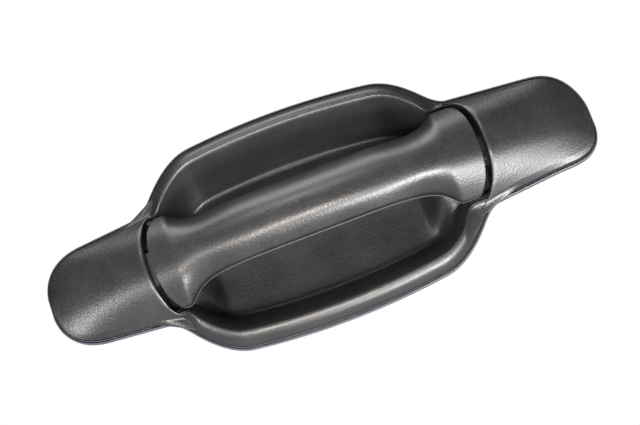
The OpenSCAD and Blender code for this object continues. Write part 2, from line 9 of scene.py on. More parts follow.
import bpy
import bmesh
from mathutils import Matrix, Vector


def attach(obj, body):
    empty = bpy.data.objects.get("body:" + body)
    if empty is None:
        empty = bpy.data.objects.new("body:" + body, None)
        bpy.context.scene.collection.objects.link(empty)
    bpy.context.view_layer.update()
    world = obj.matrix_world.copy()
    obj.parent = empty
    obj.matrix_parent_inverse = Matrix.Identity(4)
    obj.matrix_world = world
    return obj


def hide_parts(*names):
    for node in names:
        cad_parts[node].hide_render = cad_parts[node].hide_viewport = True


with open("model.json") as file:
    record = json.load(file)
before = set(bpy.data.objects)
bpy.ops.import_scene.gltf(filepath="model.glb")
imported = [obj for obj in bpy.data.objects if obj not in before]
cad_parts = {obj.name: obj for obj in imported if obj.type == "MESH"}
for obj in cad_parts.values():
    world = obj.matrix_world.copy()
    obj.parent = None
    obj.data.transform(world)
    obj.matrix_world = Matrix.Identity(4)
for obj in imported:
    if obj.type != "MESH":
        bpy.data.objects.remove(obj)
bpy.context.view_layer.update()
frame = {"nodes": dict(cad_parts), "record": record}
MM = 0.001

# ---------------------------------------------------------------- dimensions
# bezel outline: wings, bowl and the flanks between them
TIP_X, WING_HALF, BOWL_HALF = 132.8, 25.8, 52.0
WING_ROUND, WING_TAPER, WING_REF = (21.6, 18.8), 0.094, 80.0
FLANK_LEFT, FLANK_RIGHT, FLANK_SLOPE, FLANK_SKEW = 98.2, 90.7, 1.36, 2.0
BOWL_X, BOWL_DROP, BOWL_TILT, ARCH_FALL = -7.4, 0.9, 0.008, 0.0014
CORNER_BLEND, SHOULDER_BLEND = 17.0, 6.5
SLOPE, TIP_DROOP, DROOP_X = 0.018, 5.0, 108.0
# body section: crest height, crown and soft crease
EDGE_H, CREST_H, CREST_FALL = 4.6, 27.0, 0.0012
POWER, TIP_ROLL, TIP_ROLL_PAST = 2.4, 16.0, 4.0
CREASE_REACH, CREASE_BLEND, CREASE_RUN = 7.0, 3.0, 10.0
CREASE_SHARE, CREASE_X = (0.15, 0.4), (-60.0, 20.0)
# bezel section: strip at the edge, ledge, saddle and bowl
WALL, ROWS, STRIP_ROWS, WALL_ROWS = 2.5, 12, 3, 5
FLOOR_ROW = STRIP_ROWS + WALL_ROWS
STRIP_W, RECESS_HALF, DRAFT, SIDE_LEAN, LEAN_REACH = 2.9, 24.4, 0.3, 0.55, 3.0
FLANGE_W, FLANGE_H, LEDGE_H, LEDGE_W = 6.5, 9.5, 4.1, 3.3
BOWL_DEPTH, SADDLE_DEPTH, BOWL_WALL, SEAT_W = 22.0, 6.0, 14.0, 4.2
FLOOR_X, FLOOR_IN, FLOOR_OUT, FLANGE_LATE = -5.5, 50.0, 64.0, 14.0
# bowed seams between grip and wings
SEAM_LEFT, SEAM_RIGHT, GAP_LEFT, GAP_RIGHT = -82.9, 80.9, 1.9, 2.1
END_ROUND, END_POWER, END_PAD, BULGE_END = 12.0, 2.7, 1.6, 118.0
# gasket under the bezel's edge
GASKET_T, GASKET_OUT, GASKET_IN, TIP_BAND = 2.6, 1.2, 3.3, 5.0
# grip
GRIP_HALF, GRIP_END_HALF, GRIP_T, GRIP_RISE = 14.8, 22.8, 16.0, 1.4
GRIP_EDGE_H, CROWN_FIT, RIM_END, RIM_MID, BACK_END = 14.0, 0.875, 6.4, 15.0, 4.4
FLARE_LEFT, FLARE_RIGHT, FLARE_POWER, FLARE_BLEND = (-69.8, -33.0), (62.5, 26.0), 5.5, 0.15
BACK_POWER, PARTING = 5.0, 0.2
GRIP_SCREW_X, SCREW_R = (-64.0, 56.0), 1.35
# hinge and the grip's arm
HINGE = (-88.0, -8.0, SLOPE * -88.0)
BARREL_HALF, BARREL_R, BUSH_R, EAR_OUT = 8.9, 4.2, 2.8, 12.5
ARM_R, ARM_T, ARM_Y, ARM_Z, SLOT_END = 162.5, 5.0, (-5.5, 48.0), (-4.0, 8.0), 80.8
RIVET_Y, RIVET_Z, RIVET_R = (26.0, 32.0), 4.0, 1.5
# fastenings and the crank's axis
BUMPER_X, BUMPER_Z, BUMPER_R = 72.5, (-13.5, 15.5), 1.55
STUD_X, STUD_R, SCREW_X, SCREW_DZ = 108.0, 3.0, 101.5, 6.5
CRANK_Y, CRANK_Z = 28.3, 19.2


def mix(a, b, k):
    return a + (b - a) * k


def clamp(u):
    return min(1.0, max(0.0, u))


def smooth(u):
    k = clamp(u)
    return k * k * (3 - 2 * k)


def smax(a, b, k):
    h = max(k - abs(a - b), 0) / k
    return max(a, b) + h * h * k / 4


def smin(a, b, k):
    return -smax(-a, -b, k)


def lean(x):
    return SLOPE * x - TIP_DROOP * clamp((x - DROOP_X) / (TIP_X - DROOP_X)) ** 2.5


def wing_half(x):
    u = clamp((TIP_X + 0.2 - abs(x)) / WING_ROUND[x > 0])
    return (WING_HALF - WING_TAPER * (abs(x) - WING_REF)) * (1 - (1 - u) ** 2.5) ** 0.4


def bowl_half(x, side):
    arch = BOWL_HALF - ARCH_FALL * (x - BOWL_X) ** 2
    left = FLANK_SLOPE * (x + FLANK_LEFT)
    right = FLANK_SLOPE * (FLANK_RIGHT - side * FLANK_SKEW - x)
    return smin(smin(arch, left, CORNER_BLEND), right, CORNER_BLEND)


def outline(x, side):
    bowl = bowl_half(x, side) + side * (BOWL_TILT * x - BOWL_DROP)
    return side * smax(wing_half(x) + side * lean(x), bowl, SHOULDER_BLEND)


def outline_slope(x, side):
    return outline(x + 0.5, side) - outline(x - 0.5, side)


def crest(x):
    u = clamp((TIP_X + TIP_ROLL_PAST - abs(x)) / TIP_ROLL)
    return EDGE_H + (CREST_H - CREST_FALL * x * x - EDGE_H) * (1 - (1 - u) ** POWER)


def crown(x, across, half):
    """Share of the crown left at a distance from its axis, with the soft crease."""
    a = min(abs(across), half)
    fold = 0.0
    if across < 0:
        share = mix(*CREASE_SHARE, smooth((x - CREASE_X[0]) / (CREASE_X[1] - CREASE_X[0])))
        fold = share * smooth((half - CREASE_REACH) / CREASE_RUN)
    reach = max(0.1, smax(0, half - CREASE_REACH, CREASE_BLEND))
    past = smax(0, a - CREASE_REACH, CREASE_BLEND) / reach
    return 1 - fold * past - (1 - fold) * (a / max(half, 0.01)) ** POWER


def body_h(x, z):
    return EDGE_H + (crest(x) - EDGE_H) * crown(x, z - lean(x), wing_half(x))


def in_bowl(x, k, t):
    late = t + FLANGE_LATE * (1 - smooth((k - 4) / 5))
    return 1 - smooth((abs(x - FLOOR_X) - FLOOR_IN - late)
                      / (FLOOR_OUT - FLOOR_IN - late / 3))


def bow_weight(c):
    seam = -SEAM_LEFT if c < 0 else SEAM_RIGHT
    if abs(c) > seam:
        return clamp((BULGE_END - abs(c)) / (BULGE_END - seam))
    return smooth((abs(c) - FLOOR_IN + 4) / (seam - FLOOR_IN + 4))


def bow(c, reach, pad):
    u = min(0.995, abs(reach) / (GRIP_END_HALF + 0.3 + pad))
    sag = 1 - (1 - u ** END_POWER) ** (1 / END_POWER)
    return (1 if c < 0 else -1) * bow_weight(c) * (END_ROUND + pad) * sag


# ------------------------------------------------------------ bezel stations
def between(points, u):
    """A point along a polyline whose corners are at u = 0, 1, 2, ..."""
    i = min(int(u), len(points) - 2)
    f = u - i
    return [mix(a, b, f) for a, b in zip(points[i], points[i + 1])]


def strip_end(half):
    return max(min(STRIP_W, half / 3), half - RECESS_HALF)


def strip_h(x, reach, side):
    return EDGE_H + (crest(x) - EDGE_H) * crown(x, side * reach, WING_HALF)


def saddle_front(k, x, half, side):
    w = strip_end(half)
    if k <= STRIP_ROWS:
        d = w * k / STRIP_ROWS
        return [d, strip_h(x, half - d, side)]
    deep = w + LEDGE_W + 3 * DRAFT
    return between([[w, strip_h(x, half - w, side)], [w + DRAFT, LEDGE_H], [w + LEDGE_W, LEDGE_H],
                    [deep, -SADDLE_DEPTH], [half, -SADDLE_DEPTH]],
                   k - 3 if k < 6 else 3 + (k - 6) / (ROWS - 6))


def bowl_front(k, x, half):
    if k <= STRIP_ROWS:
        u = k / STRIP_ROWS
        return [FLANGE_W * u, EDGE_H + (FLANGE_H - EDGE_H) * (1 - (1 - u) ** 2)]
    u = clamp((k - STRIP_ROWS) / WALL_ROWS)
    if k <= FLOOR_ROW:
        return [FLANGE_W + BOWL_WALL * u, FLANGE_H - (FLANGE_H + BOWL_DEPTH) * smooth(u)]
    return [mix(FLANGE_W + BOWL_WALL, half, (k - FLOOR_ROW) / (ROWS - FLOOR_ROW)), -BOWL_DEPTH]


def saddle_back(k, half):
    if k <= STRIP_ROWS:
        return [SEAT_W * k / STRIP_ROWS, GASKET_T]
    if k <= 4:
        return [SEAT_W + DRAFT * (k - 3), mix(GASKET_T, -SADDLE_DEPTH - WALL, k - 3)]
    return [mix(SEAT_W + DRAFT, half, (k - 4) / (ROWS - 4)), -SADDLE_DEPTH - WALL]


def bowl_back(k, half):
    if k <= STRIP_ROWS:
        return [SEAT_W * k / STRIP_ROWS, GASKET_T]
    u = clamp((k - STRIP_ROWS) / WALL_ROWS)
    if k <= FLOOR_ROW:
        return [SEAT_W + BOWL_WALL * u, GASKET_T - (GASKET_T + BOWL_DEPTH + WALL) * smooth(u)]
    floor_w = mix(SEAT_W + BOWL_WALL, half, (k - FLOOR_ROW) / (ROWS - FLOOR_ROW))
    return [floor_w, -BOWL_DEPTH - WALL]


def edge_in(d, half):
    """The outer edge's side wall leans in, which bares the gasket's groove."""
    return min(half, d + SIDE_LEAN * (1 - clamp(d / LEAN_REACH)))


def bezel_point(c, side, k, wing, back, shift):
    """One point of the bezel's front or back at column c, k rows in from the edge."""
    half_c = wing_half(c)
    shrink = min(1.0, half_c / 14) ** 2
    near = saddle_back(k, half_c) if back else saddle_front(k, c, half_c, side)
    x = c + (shift if back else 0) + bow(c, WING_HALF - near[0], END_PAD)
    half = side * (outline(x, side) - lean(x))
    s = saddle_back(k, half) if back else saddle_front(k, x, half, side)
    if wing:
        d = min(half, mix(half * k / ROWS, s[0], shrink))
        z = outline(x, side) - side * d
        if not back:
            h = body_h(x, z)
            z = outline(x, side) - side * edge_in(d, half)
        elif k <= STRIP_ROWS or abs(x) > TIP_X - SEAT_W:
            h = GASKET_T
        else:
            h = max(GASKET_T, body_h(x, z) - WALL)
        return (x, -h, z)
    m = in_bowl(x, k, WALL if back else 0)
    b = bowl_back(k, half) if back else bowl_front(k, x, half)
    steep = mix(math.sqrt(1 + outline_slope(x, side) ** 2), 1, k / ROWS)
    d = min(half, mix(s[0] * steep if back else s[0], b[0] * steep, m))
    if not back:
        d = edge_in(d, half)
    return (x, -mix(s[1], b[1], m), outline(x, side) - side * d)


# ------------------------------------------------------------- mesh building
def new_object(name, bm, smooth_shade=True):
    mesh = bpy.data.meshes.new(name)
    bmesh.ops.recalc_face_normals(bm, faces=bm.faces)
    bm.to_mesh(mesh)
    bm.free()
    for poly in mesh.polygons:
        poly.use_smooth = smooth_shade
    obj = bpy.data.objects.new(name, mesh)
    bpy.context.collection.objects.link(obj)
    return obj


def apply_modifiers(obj):
    """Bake the modifiers into the mesh, so that what is seen is geometry."""
    deps = bpy.context.evaluated_depsgraph_get()
    mesh = bpy.data.meshes.new_from_object(obj.evaluated_get(deps))
    obj.modifiers.clear()
    old = obj.data
    obj.data = mesh
    bpy.data.meshes.remove(old)
    return obj


def subdivide(obj, levels):
    mod = obj.modifiers.new("Subdivision", "SUBSURF")
    mod.levels = mod.render_levels = levels
    return apply_modifiers(obj)


def grid_shell(name, outer, inner, levels=2):
    """Closed shell between two grids of points in millimetres, then subdivided."""
    bm = bmesh.new()
    rows = len(outer[0])
    layers = []
    for grid in (outer, inner):
        layers.append([[bm.verts.new([v * MM for v in p]) for p in col] for col in grid])
    for i in range(len(outer) - 1):
        for j in range(rows - 1):
            for layer in layers:
                bm.faces.new((layer[i][j], layer[i + 1][j],
                              layer[i + 1][j + 1], layer[i][j + 1]))
    ring = [(i, 0) for i in range(len(outer) - 1)]
    ring += [(len(outer) - 1, j) for j in range(rows - 1)]
    ring += [(i, rows - 1) for i in range(len(outer) - 1, 0, -1)]
    ring += [(0, j) for j in range(rows - 1, 0, -1)]
    for (i, j), (m, n) in zip(ring, ring[1:] + ring[:1]):
        bm.faces.new((layers[0][i][j], layers[0][m][n], layers[1][m][n], layers[1][i][j]))
    return subdivide(new_object(name, bm), levels)


def spread(values, parts):
    """The values with each gap divided into that many equal parts."""
    out = []
    for a, b in zip(values, values[1:]):
        out += [mix(a, b, i / parts) for i in range(parts)]
    return out + [values[-1]]


def box_solid(low, high):
    bm = bmesh.new()
    bmesh.ops.create_cube(bm, size=1)
    for v in bm.verts:
        v.co = Vector([mix(a, b, c + 0.5) * MM for a, b, c in zip(low, high, v.co)])
    return bm


def lathe(profile, axis, at, turns=72):
    """Closed solid of revolution: profile is (radius, place along the axis) in mm."""
    bm = bmesh.new()
    rings = []
    for r, s in profile:
        ring = []
        for k in range(turns if r > 0 else 1):
            a = 2 * math.pi * k / turns
            u, v = r * math.cos(a), r * math.sin(a)
            p = {"x": (s, u, v), "y": (u, s, v), "z": (u, v, s)}[axis]
            ring.append(bm.verts.new([(p[i] + at[i]) * MM for i in range(3)]))
        rings.append(ring)
    for ra, rb in zip(rings, rings[1:]):
        for k in range(turns):
            quad = [ra[k % len(ra)], ra[(k + 1) % len(ra)], rb[(k + 1) % len(rb)], rb[k % len(rb)]]
            bm.faces.new([v for i, v in enumerate(quad) if v not in quad[:i]])
    for ring in (rings[0], rings[-1]):
        if len(ring) > 1:
            bm.faces.new(ring)
    return bm


def rod(r, start, end, axis, at, turns=72):
    return lathe([(r, start), (r, end)], axis, at, turns)


def arc_solid(r_in, r_out, ys, zs, parts=64):
    """Part of a ring round the hinge, between two heights."""
    bm = bmesh.new()
    rows = []
    for i in range(parts + 1):
        y = mix(ys[0], ys[1], i / parts)
        row = []
        for r, z in ((r_in, zs[0]), (r_out, zs[0]), (r_out, zs[1]), (r_in, zs[1])):
            x = HINGE[0] + math.sqrt(r * r - (y - HINGE[1]) ** 2)
            row.append(bm.verts.new((x * MM, y * MM, z * MM)))
        rows.append(row)
    for ra, rb in zip(rows, rows[1:]):
        for k in range(4):
            bm.faces.new((ra[k], ra[(k + 1) % 4], rb[(k + 1) % 4], rb[k]))
    bm.faces.new(rows[0])
    bm.faces.new(rows[-1])
    return bm


def combine(obj, solids, operation):
    """Joins the solids to the object, or cuts them out of it."""
    for bm in solids:
        tool = new_object("tool", bm, False)
        mod = obj.modifiers.new("Boolean", "BOOLEAN")
        mod.operation = operation
        mod.solver = "EXACT"
        mod.object = tool
        apply_modifiers(obj)
        bpy.data.objects.remove(tool)
    return obj


def sharpen(obj, degrees=35):
    """Smooth shading that keeps the edges sharper than an angle."""
    bm = bmesh.new()
    bm.from_mesh(obj.data)
    limit = math.radians(degrees)
    for face in bm.faces:
        face.smooth = True
    for edge in bm.edges:
        edge.smooth = len(edge.link_faces) == 2 and edge.calc_face_angle(0) < limit
    bm.to_mesh(obj.data)
    bm.free()
    return obj


# ----------------------------------------------------------------- materials
def look(name, dark, light, rough, grain, bump, metallic=0.0, coat=0.0, streak=None):
    """Procedural finish: colour drift, roughness drift and a fine surface grain.

    grain is the grain's frequency in cycles per metre, and bump its depth in mm.
    """
    mat = bpy.data.materials.new(name)
    mat.use_nodes = True
    nodes, links = mat.node_tree.nodes, mat.node_tree.links
    bsdf = nodes["Principled BSDF"]
    bsdf.inputs["Metallic"].default_value = metallic
    bsdf.inputs["Coat Weight"].default_value = coat
    bsdf.inputs["Coat Roughness"].default_value = 0.25
    place = nodes.new("ShaderNodeTexCoord")
    stretch = nodes.new("ShaderNodeMapping")
    stretch.inputs["Scale"].default_value = streak or (1, 1, 1)
    links.new(place.outputs["Object"], stretch.inputs["Vector"])

    def noise(scale, detail, source):
        node = nodes.new("ShaderNodeTexNoise")
        node.inputs["Scale"].default_value = scale
        node.inputs["Detail"].default_value = detail
        links.new(source, node.inputs["Vector"])
        return node.outputs["Fac"]

    drift = noise(60, 4, place.outputs["Object"])
    fine = noise(grain, 3, stretch.outputs["Vector"])
    blend = nodes.new("ShaderNodeMath")
    blend.operation = "MULTIPLY_ADD"
    blend.inputs[1].default_value = 0.45
    links.new(fine, blend.inputs[0])
    half = nodes.new("ShaderNodeMath")
    half.operation = "MULTIPLY"
    half.inputs[1].default_value = 0.55
    links.new(drift, half.inputs[0])
    links.new(half.outputs[0], blend.inputs[2])
    ramp = nodes.new("ShaderNodeValToRGB")
    ramp.color_ramp.elements[0].position = 0.32
    ramp.color_ramp.elements[0].color = (*dark, 1)
    ramp.color_ramp.elements[1].position = 0.68
    ramp.color_ramp.elements[1].color = (*light, 1)
    links.new(blend.outputs[0], ramp.inputs["Fac"])
    links.new(ramp.outputs["Color"], bsdf.inputs["Base Color"])
    span = nodes.new("ShaderNodeMapRange")
    span.inputs["From Min"].default_value = 0.3
    span.inputs["From Max"].default_value = 0.7
    span.inputs["To Min"].default_value = rough[0]
    span.inputs["To Max"].default_value = rough[1]
    links.new(blend.outputs[0], span.inputs["Value"])
    links.new(span.outputs["Result"], bsdf.inputs["Roughness"])
    relief = nodes.new("ShaderNodeBump")
    relief.inputs["Strength"].default_value = 1.0
    relief.inputs["Distance"].default_value = bump * MM
    links.new(fine, relief.inputs["Height"])
    links.new(relief.outputs["Normal"], bsdf.inputs["Normal"])
    return mat


LOOKS = {
    "black_plastic_body": look("charcoal_grained", (0.006, 0.006, 0.007),
                               (0.014, 0.014, 0.015), (0.32, 0.43), 950, 0.10),
    "inner_plastic": look("inner_dull", (0.012, 0.012, 0.013), (0.022, 0.022, 0.024),
                          (0.50, 0.66), 900, 0.03),
    "gasket_rubber": look("epdm_ribbed", (0.030, 0.036, 0.046), (0.052, 0.060, 0.074),
                          (0.32, 0.46), 1100, 0.03),
    "bumper_rubber": look("soft_rubber", (0.012, 0.012, 0.013), (0.024, 0.024, 0.026),
                          (0.62, 0.78), 1300, 0.04),
    "acetal": look("acetal_waxy", (0.60, 0.58, 0.51), (0.70, 0.69, 0.63),
                   (0.30, 0.42), 700, 0.01, coat=0.15),
    "cast_zinc": look("zinc_cast", (0.30, 0.31, 0.32), (0.46, 0.47, 0.48),
                      (0.36, 0.52), 1600, 0.04, metallic=1.0),
    "zinc_plated_steel": look("steel_plated", (0.50, 0.50, 0.47), (0.66, 0.66, 0.65),
                              (0.20, 0.36), 900, 0.008, metallic=1.0, streak=(1, 0.2, 1)),
    "spring_steel": look("steel_spring", (0.20, 0.21, 0.23), (0.34, 0.35, 0.38),
                         (0.24, 0.38), 1200, 0.01, metallic=1.0, streak=(0.2, 1, 1)),
}
SLOT_OF = {p["node"]: p["material_slot"] for p in frame["record"]["subparts"]}


def place(obj, body, node, replaces=True):
    """Finish, body and CAD node of one visible piece."""
    obj.data.materials.clear()
    obj.data.materials.append(LOOKS[SLOT_OF[node]])
    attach(obj, body)
    if replaces:
        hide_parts(node)
    return obj


# --------------------------------------------------------------------- bezel
# columns from each tip and each seam, and rows in from the edge
TIP_STEPS = (0, 0.5, 1.5, 2.8, 5.6, 9.5, 14.5, 21, 29, 38)
SEAM_STEPS = (0, 0.5, 1.6, 5, 9.5, 13.5, 17, 20.5, 24, 27.5, 31.5)
ROW_STEPS = (0, 0.35, 0.9, 1.5, 2.1, 2.6, 2.88, 3.0, 3.12, 3.5, 4.0, 4.3, 4.8, 5.1,
             5.6, 6.0, 6.3, 7.0, 7.6, 8.2, 9.0, 10.0, 11.0, 12.0)


BOSS_PROFILE = ((0, -11), (1.4, -11), (1.4, -5.6), (2.8, -5.6), (3.0, -5.8),
                (3.0, -11.8), (2.8, -12), (0, -12))


def bezel_columns():
    """(place along X, belongs to a wing, shift of the back skin) for each column."""
    wing = [(SEAM_RIGHT + DRAFT, WALL), (SEAM_RIGHT + DRAFT + 0.35, WALL)]
    wing += [(TIP_X - t, 0) for t in spread(TIP_STEPS[::-1], 2) if TIP_X - t > 88]
    right = [(c, True, s) for c, s in wing]
    wing = [(t - TIP_X, 0) for t in spread(TIP_STEPS, 2) if t - TIP_X < -88]
    wing += [(SEAM_LEFT - DRAFT - 0.35, -WALL), (SEAM_LEFT - DRAFT, -WALL)]
    left = [(c, True, s) for c, s in wing]
    dish = [(SEAM_LEFT + t, False, -WALL if t < 1 else 0) for t in spread(SEAM_STEPS, 2)]
    dish += [(x, False, 0) for x in range(-46, 47, 4)]
    dish += [(SEAM_RIGHT - t, False, WALL if t < 1 else 0)
             for t in spread(SEAM_STEPS[::-1], 2)]
    return left + dish + right


def bezel_grid(back):
    rows = [(-1, k) for k in ROW_STEPS] + [(1, k) for k in ROW_STEPS[-2::-1]]
    return [[bezel_point(c, side, k, wing, back, shift) for side, k in rows]
            for c, wing, shift in bezel_columns()]


def lever_x(y, across):
    return HINGE[0] + math.sqrt((ARM_R + across / 2) ** 2 - (y - HINGE[1]) ** 2)


def build_bezel():
    obj = grid_shell("bezel_skin", bezel_grid(False), bezel_grid(True))
    back = SADDLE_DEPTH + WALL + 1
    cuts = [box_solid((SEAM_LEFT - WALL - 1.5, -12.8, HINGE[2] - EAR_OUT - 0.5),
                      (SEAM_LEFT + 1.5, 1, HINGE[2] + EAR_OUT + 0.5)),
            box_solid((lever_x(SADDLE_DEPTH + WALL, -ARM_T) - 2.2, SADDLE_DEPTH - 1,
                       ARM_Z[0] - 1), (SLOT_END, back, ARM_Z[1] + 1))]
    cuts += [rod(BUMPER_R, SADDLE_DEPTH - 1, back, "y", (BUMPER_X, 0, z)) for z in BUMPER_Z]
    place(sharpen(combine(obj, cuts, "DIFFERENCE"), 50), "fixed", "bezel")
    for side in (-1, 1):
        for dz in (-SCREW_DZ, SCREW_DZ):
            at = (side * SCREW_X, 0, side * SLOPE * SCREW_X + dz)
            boss = lathe(BOSS_PROFILE, "y", at)
            name = "screw_boss_" + ("r" if side > 0 else "l") + ("u" if dz > 0 else "d")
            place(sharpen(new_object(name, boss)), "fixed", "bezel", False)


build_bezel()


# ---------------------------------------------------------------------- grip
def flare_u(x):
    ends = FLARE_LEFT if x < 0 else FLARE_RIGHT
    return min(1.0, (x - ends[0]) / (ends[1] - ends[0]))


def flare(x):
    return 1 - smin(1, (1 - flare_u(x)) ** FLARE_POWER, FLARE_BLEND)


def lift(x):
    return smooth(flare_u(x))


def grip_half(x):
    return mix(GRIP_END_HALF, GRIP_HALF, flare(x))


def grip_h(x, across):
    e = mix(EDGE_H, GRIP_EDGE_H, lift(x))
    w = mix(WING_HALF - 0.2, GRIP_HALF / CROWN_FIT, flare(x))
    return e + (crest(x) - e) * crown(x, across, w)


def rim_h(x):
    return mix(RIM_END, RIM_MID, lift(x))


def back_h(x, across):
    low = max(mix(BACK_END, crest(x) - GRIP_T, lift(x)), BACK_END)
    rim = rim_h(x) - PARTING
    s = min(1.0, abs(across) / grip_half(x))
    return rim - (rim - low) * (1 - s ** BACK_POWER)


# columns from each end of the grip, and rows from its lower edge to its axis
GRIP_STEPS = (0.3, 0.8, 1.5, 3.5, 6, 8.5, 11, 14, 17.5, 21.5, 26, 33)
GRIP_ROWS = (-1, -0.985, -0.95, -0.88, -0.76, -0.66, -0.56, -0.46, -0.36, -0.24, -0.12, 0)


def grip_columns(inset):
    start, end = SEAM_LEFT + GAP_LEFT + inset, SEAM_RIGHT - GAP_RIGHT - inset
    left = [start] + spread([start + t for t in GRIP_STEPS], 2)
    right = spread([end - t for t in GRIP_STEPS[::-1]], 2) + [end]
    return left + [float(x) for x in range(-42, 43, 6)] + right


def grip_grid(back, inset):
    rows = list(GRIP_ROWS) + [-v for v in GRIP_ROWS[-2::-1]]
    cols = grip_columns(inset)
    grid = []
    for i, c in enumerate(cols):
        line = []
        for j, v in enumerate(rows):
            x = c + bow(c, v * GRIP_END_HALF, 0)
            a = v * (grip_half(x) - inset)
            rise = GRIP_RISE * flare(x)
            if i in (0, len(cols) - 1) or j in (0, len(rows) - 1):
                h = rim_h(x) - (PARTING if back else 0)
            elif back:
                h = back_h(x, a) + (WALL if inset else 0)
            else:
                h = grip_h(x, a + rise) - inset
            line.append((x, -h, lean(x) + a + rise))
        grid.append(line)
    return grid


def boss_h(x):
    return back_h(x, 0) + WALL + 1.4


def head_h(x):
    return back_h(x, 0) + 1.6


def rivet_tool(r, y):
    bm = rod(r, -6, 6, "x", (ARM_R, 0, 0), 48)
    turn = Matrix.Rotation(math.asin((y - HINGE[1]) / ARM_R), 4, "Z")
    move = Matrix.Translation((HINGE[0] * MM, HINGE[1] * MM, RIVET_Z * MM))
    bmesh.ops.transform(bm, matrix=move @ turn, verts=bm.verts)
    return bm


def build_grip():
    cover = grid_shell("grip_skin", grip_grid(False, 0), grip_grid(False, WALL))
    start = SEAM_LEFT + GAP_LEFT
    combine(cover, [rod(3.2, -crest(x) + WALL - 0.8, -boss_h(x), "y", (x, 0, lean(x)))
                    for x in GRIP_SCREW_X], "UNION")
    cuts = [rod(SCREW_R + 0.05, -crest(x) + WALL + 1, -boss_h(x) + 1, "y", (x, 0, lean(x)))
            for x in GRIP_SCREW_X]
    cuts.append(box_solid((HINGE[0], HINGE[1] - 1.5, HINGE[2] - BARREL_HALF),
                          (start + WALL + 2, 0, HINGE[2] + BARREL_HALF)))
    place(sharpen(combine(cover, cuts, "DIFFERENCE"), 50), "grip", "grip_cover")

    tray = grid_shell("grip_tray", grip_grid(True, WALL + 0.3), grip_grid(True, 0))
    low, high = HINGE[2] - BARREL_HALF, HINGE[2] + BARREL_HALF
    adds = [rod(4.4, -boss_h(x), -back_h(x, 0) - 0.4, "y", (x, 0, lean(x)))
            for x in GRIP_SCREW_X]
    adds.append(box_solid((HINGE[0], HINGE[1] - 1.2, low + 0.9),
                          (HINGE[0] + 18, -BACK_END - 0.3, high - 0.9)))
    adds.append(rod(BARREL_R, low, high, "z", (HINGE[0], HINGE[1], 0)))
    adds.append(arc_solid(ARM_R - ARM_T / 2, ARM_R + ARM_T / 2, ARM_Y, ARM_Z))
    cuts = [rod(BUSH_R, low - 5, high + 5, "z", (HINGE[0], HINGE[1], 0))]
    for x in GRIP_SCREW_X:
        cuts.append(rod(1.9, -crest(x), 0, "y", (x, 0, lean(x))))
        cuts.append(rod(3.2, -head_h(x), 0, "y", (x, 0, lean(x))))
    cuts += [rivet_tool(RIVET_R, y) for y in RIVET_Y]
    combine(combine(tray, adds, "UNION"), cuts, "DIFFERENCE")
    place(sharpen(tray, 40), "grip", "grip_back")


build_grip()


# -------------------------------------------------------------------- gasket
def gasket_path():
    """(x, side) round the outline, clockwise from the hinge end."""
    tip = [34 * (1 - math.cos(math.radians(u))) for u in range(0, 81, 2)]
    xs = [-TIP_X + t for t in tip] + [float(x) for x in range(-104, 105, 2)]
    xs += [TIP_X - t for t in tip[::-1]]
    return [(x, 1) for x in xs], [(x, -1) for x in xs[::-1]]


def gasket_point(x, side, out):
    s = outline_slope(x, side)
    n = math.sqrt(1 + s * s)
    return x - side * out * s / n, outline(x, side) + side * out / n


def build_gasket():
    """Swept strip: flat under the bezel, then a groove and a ribbed lip outside it."""
    lip = GASKET_OUT
    profile = [(-GASKET_IN, 0.0), (-GASKET_IN, GASKET_T), (-0.5, GASKET_T),
               (-0.05, GASKET_T - 0.1), (0.0, 1.3), (0.3, 1.2), (0.38, 2.6), (0.5, 3.15),
               (0.72, 3.35), (0.98, 3.2), (1.14, 2.85), (lip, 2.5), (0.98, 2.25), (1.0, 2.0),
               (lip, 1.8), (lip, 1.5), (0.98, 1.3), (1.0, 1.05), (lip, 0.85), (lip, 0.35),
               (1.05, 0.0)]
    top, bottom = gasket_path()
    bm = bmesh.new()
    loops = []
    for x, side in top + bottom:
        ring = []
        for out, h in profile:
            if out < 0 and abs(x) > TIP_X - TIP_BAND:
                inner = math.copysign(TIP_X - TIP_BAND, x)
                u = (abs(x) - TIP_X + TIP_BAND) / TIP_BAND
                px, pz = gasket_point(inner, side, out)
                pz = mix(pz, lean(x), u * -out / GASKET_IN)
                qx, qz = gasket_point(x, side, 0)
                k = -out / GASKET_IN
                px, pz = mix(qx, px, k), mix(qz, pz, k)
            else:
                px, pz = gasket_point(x, side, out)
            ring.append(bm.verts.new((px * MM, -h * MM, pz * MM)))
        loops.append(ring)
    n = len(profile)
    for ra, rb in zip(loops, loops[1:] + loops[:1]):
        for k in range(n):
            bm.faces.new((ra[k], ra[(k + 1) % n], rb[(k + 1) % n], rb[k]))
    place(sharpen(new_object("gasket_lip", bm), 60), "fixed", "perimeter_gasket")


build_gasket()


